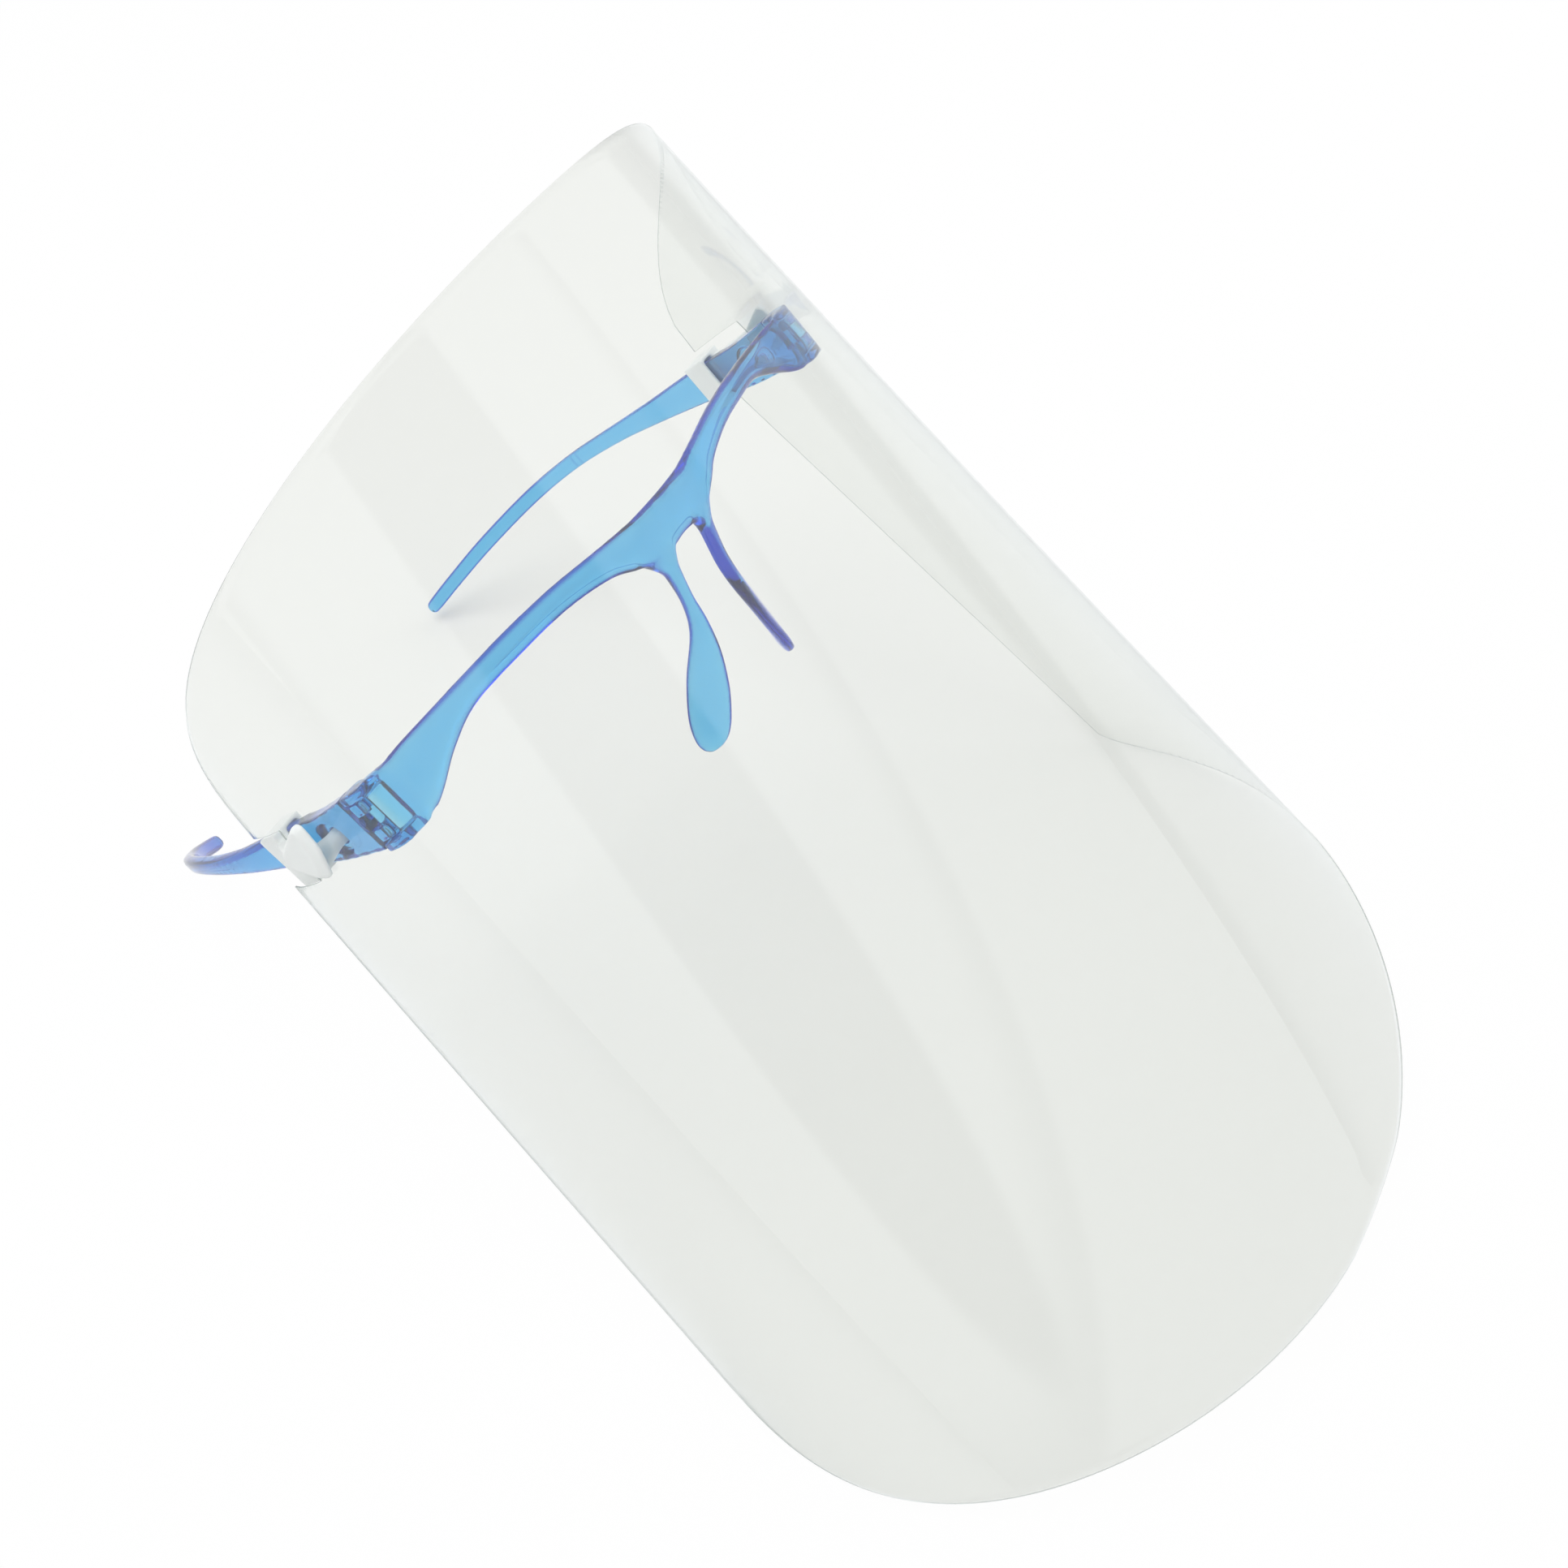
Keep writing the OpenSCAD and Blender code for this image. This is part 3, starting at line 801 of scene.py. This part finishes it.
class VISOR_OT_sheet(bpy.types.Operator):
    """Bend the clear sheet and split it in the middle into two halves"""

    bl_idname = "visor.sheet"
    bl_label = "Visor sheet"

    def execute(self, context):
        settings = context.scene.visor_sheet
        whole = bent_sheet(settings)
        for side, sign in (("left", 1), ("right", -1)):
            bm = whole.copy()
            geom = list(bm.verts) + list(bm.edges) + list(bm.faces)
            bmesh.ops.bisect_plane(bm, geom=geom, dist=1e-7, plane_co=(0, 0, 0),
                                   plane_no=(sign, 0, 0), clear_inner=True)
            half = new_piece(f"{side}_sheet_half", bm, None, "clear_sheet",
                             clear_sheet(settings), "visor_film")
            half.data.materials.append(sheet_edge_painted_shade(settings))
            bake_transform(half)
        whole.free()
        return {"FINISHED"}


# ---------------------------------------------------------------- the stage


VISOR_MIDDLE = (0, 0, -0.05)  # where the lamps aim, in metres
FILL_SHARE = 0.4  # power of the fill lamp beside the key lamp's
FAR_TONE = 0.87  # the backdrop's tone beyond the table is halfway to this
INSIDE_LEVEL = 0.85  # brightness that a ray finds after several turns inside the plastic
TABLE_GLOW = 0.95  # how much of the table glows evenly, so that its shadows stay faint
SHEET_GLOW_LOSS = 0.6  # and how much less of it does so when seen through the sheet
TABLE_NORMAL = (0, -0.766, 0.643)
TABLE_HALF = 3.0  # half the table's side, in metres
TABLE_GAP = 0.5  # space below the visor, in millimetres

# What mirrors see of the studio, by direction in degrees: turn from straight ahead and
# rise from level. A dark gap and a ring-shaped seam lie about the tripod.
TRIPOD_TURN = -35
GAP_RISE = -13
GAP_SIZE = (17, 20)
SEAM_SIZE = (61, 35)
FLANK_TURNS = (76, 82)
FLANK_LEAN = 0.45
OVERHEAD_RISES = (22, 40)
BOX_LEVEL = 0.95
GAP_LEVEL = -0.7
SEAM_LEVEL = -0.45
FLANK_LEVEL = -0.4
OVERHEAD_LEVEL = 0.25


def camera_axes(settings):
    """Right, down and forward directions of the camera."""
    az, el, roll = settings.azimuth, settings.elevation, settings.roll
    back = Vector((math.sin(az) * math.cos(el), -math.cos(az) * math.cos(el), math.sin(el)))
    ahead = -back
    right = ahead.cross(Vector((0, 0, 1))).normalized()
    up = right.cross(ahead)
    across = math.cos(roll) * right + math.sin(roll) * up
    over = -math.sin(roll) * right + math.cos(roll) * up
    return across, over, ahead


def add_camera(settings):
    """Camera whose frame puts the origin where the settings say."""
    across, over, ahead = camera_axes(settings)
    shift_x = (settings.centre_x - IMAGE / 2) / settings.focal * settings.distance
    shift_y = (settings.centre_y - IMAGE / 2) / settings.focal * settings.distance
    place = -across * shift_x + over * shift_y - ahead * settings.distance
    data = bpy.data.cameras.new("Camera")
    data.sensor_width = 36.0
    data.lens = settings.focal / IMAGE * data.sensor_width
    data.clip_start = 0.01
    camera = bpy.data.objects.new("Camera", data)
    bpy.context.collection.objects.link(camera)
    turn = Matrix((across, over, -ahead)).transposed().to_4x4()
    camera.matrix_world = Matrix.Translation(place) @ turn
    bpy.context.scene.camera = camera


def add_lamp(name, place, size, watts):
    """A soft rectangular lamp aimed at the visor and left out of mirror reflections."""
    data = bpy.data.lights.new(name, "AREA")
    data.shape = "RECTANGLE"
    data.size, data.size_y = size
    data.energy = watts
    lamp = bpy.data.objects.new(name, data)
    bpy.context.collection.objects.link(lamp)
    lamp.location = place
    lamp.visible_glossy = False
    aim = Vector(VISOR_MIDDLE) - Vector(place)
    lamp.rotation_euler = aim.to_track_quat("-Z", "Y").to_euler()


def behind_sheet(tree, path):
    """1 for what is seen through the sheet, whose two faces a ray has passed."""
    return soft_step(tree, path.outputs["Transparent Depth"], 1.0, 2.0)


def table_material(backdrop):
    """Table seen from its upper side: plain white, and grey with shadows through the sheet."""
    material, tree, output = material_tree("White table")
    nodes, links = tree.nodes, tree.links
    matt = nodes.new("ShaderNodeBsdfDiffuse")
    matt.inputs["Color"].default_value = (0.9, 0.9, 0.9, 1)
    path = nodes.new("ShaderNodeLightPath")
    through = behind_sheet(tree, path)
    glow = nodes.new("ShaderNodeEmission")
    links.new(mixed_colour(tree, through, (1, 1, 1), backdrop), glow.inputs["Color"])
    hidden = nodes.new("ShaderNodeBsdfTransparent")
    glowing = math_node(tree, "MULTIPLY_ADD", through, -SHEET_GLOW_LOSS, TABLE_GLOW)
    share = math_node(tree, "MULTIPLY", path.outputs["Is Camera Ray"], glowing)
    side = nodes.new("ShaderNodeNewGeometry")
    lit = nodes.new("ShaderNodeMixShader")
    shown = nodes.new("ShaderNodeMixShader")
    links.new(share, lit.inputs["Fac"])
    links.new(matt.outputs[0], lit.inputs[1])
    links.new(glow.outputs[0], lit.inputs[2])
    links.new(side.outputs["Backfacing"], shown.inputs["Fac"])
    links.new(lit.outputs[0], shown.inputs[1])
    links.new(hidden.outputs[0], shown.inputs[2])
    links.new(shown.outputs[0], output.inputs["Surface"])
    return material


def oval_distance(tree, turn, rise, size):
    """Square of the distance from a direction, 1 on an oval that has no upper half."""
    across = math_node(tree, "DIVIDE", turn, math.radians(size[0]))
    down = math_node(tree, "DIVIDE", math_node(tree, "MINIMUM", rise, 0),
                     math.radians(size[1]))
    return math_node(tree, "ADD", math_node(tree, "MULTIPLY", across, across),
                     math_node(tree, "MULTIPLY", down, down))


def studio_reflections(tree):
    """Brightness of the studio by direction: soft boxes, with a dark gap at the tripod."""
    place = tree.nodes.new("ShaderNodeTexCoord")
    split = tree.nodes.new("ShaderNodeSeparateXYZ")
    tree.links.new(place.outputs["Generated"], split.inputs[0])
    x, y, z = split.outputs
    turn = math_node(tree, "ARCTAN2", x, math_node(tree, "MULTIPLY", y, -1))
    rise = math_node(tree, "ARCSINE", z)
    from_tripod = math_node(tree, "ADD", turn, math.radians(-TRIPOD_TURN))
    from_gap = oval_distance(tree, from_tripod, math_node(
        tree, "ADD", rise, math.radians(-GAP_RISE)), GAP_SIZE)
    gap = math_node(tree, "SUBTRACT", 1, soft_step(tree, from_gap, 0.85, 1.1))
    ring = oval_distance(tree, from_tripod, rise, SEAM_SIZE)
    seam = math_node(tree, "MULTIPLY", soft_step(tree, ring, 0.75, 0.97),
                     math_node(tree, "SUBTRACT", 1, soft_step(tree, ring, 0.97, 1.03)))
    leaning = math_node(tree, "ADD", turn, math_node(tree, "MULTIPLY", rise, -FLANK_LEAN))
    flank = soft_step(tree, leaning, *map(math.radians, FLANK_TURNS))
    overhead = soft_step(tree, rise, *map(math.radians, OVERHEAD_RISES))
    level = BOX_LEVEL
    for mask, gain in ((gap, GAP_LEVEL), (seam, SEAM_LEVEL), (flank, FLANK_LEVEL),
                       (overhead, OVERHEAD_LEVEL)):
        level = math_node(tree, "ADD", level, math_node(tree, "MULTIPLY", mask, gain))
    return level


def white_world(strength, backdrop):
    """Even light, studio reflections for glossy rays, and a white backdrop to look at."""
    world = bpy.data.worlds.new("White room")
    bpy.context.scene.world = world
    world.use_nodes = True
    tree = world.node_tree
    tree.nodes.clear()
    links = tree.links
    output = tree.nodes.new("ShaderNodeOutputWorld")
    lighting = tree.nodes.new("ShaderNodeBackground")
    lighting.inputs["Color"].default_value = (1, 1, 1, 1)
    path = tree.nodes.new("ShaderNodeLightPath")
    glossy = tree.nodes.new("ShaderNodeMix")
    glossy.inputs["A"].default_value = strength
    links.new(path.outputs["Is Glossy Ray"], glossy.inputs["Factor"])
    inside = soft_step(tree, path.outputs["Ray Depth"], 2.4, 2.6)
    level = tree.nodes.new("ShaderNodeMix")
    level.inputs["B"].default_value = INSIDE_LEVEL
    links.new(inside, level.inputs["Factor"])
    links.new(studio_reflections(tree), level.inputs["A"])
    links.new(level.outputs["Result"], glossy.inputs["B"])
    links.new(glossy.outputs["Result"], lighting.inputs["Strength"])
    seen = tree.nodes.new("ShaderNodeBackground")
    links.new(mixed_colour(tree, behind_sheet(tree, path), (1, 1, 1), backdrop),
              seen.inputs["Color"])
    either = math_node(tree, "MAXIMUM", path.outputs["Is Camera Ray"],
                       path.outputs["Is Transmission Ray"])
    mix = tree.nodes.new("ShaderNodeMixShader")
    links.new(either, mix.inputs["Fac"])
    links.new(lighting.outputs[0], mix.inputs[1])
    links.new(seen.outputs[0], mix.inputs[2])
    links.new(mix.outputs[0], output.inputs["Surface"])


def add_table(settings):
    """A table plane that the temple tips and the sheet's lower sides rest on."""
    normal = Vector(TABLE_NORMAL).normalized()
    lowest = 1e9
    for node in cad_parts.values():
        for vert in node.data.vertices:
            lowest = min(lowest, vert.co.dot(normal))
    bm = bmesh.new()
    bmesh.ops.create_grid(bm, x_segments=1, y_segments=1, size=TABLE_HALF)
    turn = normal.to_track_quat("Z", "Y").to_matrix()
    bmesh.ops.rotate(bm, verts=bm.verts, cent=(0, 0, 0), matrix=turn)
    bmesh.ops.translate(bm, verts=bm.verts, vec=normal * (lowest - TABLE_GAP * MM))
    mesh = bpy.data.meshes.new("Table")
    bm.to_mesh(mesh)
    bm.free()
    table = bpy.data.objects.new("Table", mesh)
    bpy.context.collection.objects.link(table)
    mesh.materials.append(table_material(settings.backdrop))


class VISOR_OT_stage(bpy.types.Operator):
    """Set up the camera, the soft lamps, the white room and the table"""

    bl_idname = "visor.stage"
    bl_label = "Stage"

    def execute(self, context):
        settings = context.scene.visor_stage
        add_camera(settings)
        white_world(settings.world, [(c + FAR_TONE) / 2 for c in settings.backdrop])
        add_lamp("Key", (-0.25, -0.55, 0.75), (0.7, 0.7), settings.key)
        add_lamp("Fill", (0.75, -0.5, 0.2), (0.5, 0.9), settings.key * FILL_SHARE)
        add_table(settings)
        context.scene.view_settings.view_transform = "Standard"
        return {"FINISHED"}


class VISOR_PT_panel(bpy.types.Panel):
    """Lists the visor's pieces"""

    bl_label = "Spectacle Visor"
    bl_idname = "VISOR_PT_panel"
    bl_space_type = "VIEW_3D"
    bl_region_type = "UI"
    bl_category = "Visor"

    def draw(self, context):
        layout = self.layout
        for operator in OPERATORS:
            layout.operator(operator.bl_idname)
        for name in ("visor_sheet", "visor_frame", "visor_clip", "visor_stage"):
            group = getattr(context.scene, name)
            box = layout.box()
            for prop in group.__annotations__:
                box.prop(group, prop)


SETTINGS = {
    "visor_sheet": VisorSheetSettings,
    "visor_frame": FrameSettings,
    "visor_clip": ClipSettings,
    "visor_stage": StageSettings,
}
OPERATORS = (VISOR_OT_stage, VISOR_OT_brow_frame, VISOR_OT_temples, VISOR_OT_clips,
             VISOR_OT_sheet)


def register():
    for name, group in SETTINGS.items():
        bpy.utils.register_class(group)
        setattr(bpy.types.Scene, name, PointerProperty(type=group))
    for operator in OPERATORS:
        bpy.utils.register_class(operator)
    bpy.utils.register_class(VISOR_PT_panel)


def unregister():
    bpy.utils.unregister_class(VISOR_PT_panel)
    for operator in reversed(OPERATORS):
        bpy.utils.unregister_class(operator)
    for name, group in reversed(SETTINGS.items()):
        delattr(bpy.types.Scene, name)
        bpy.utils.unregister_class(group)


def main():
    register()
    bpy.ops.visor.stage()
    bpy.ops.visor.brow_frame()
    bpy.ops.visor.temples()
    bpy.ops.visor.clips()
    bpy.ops.visor.sheet()


if __name__ == "__main__":
    main()
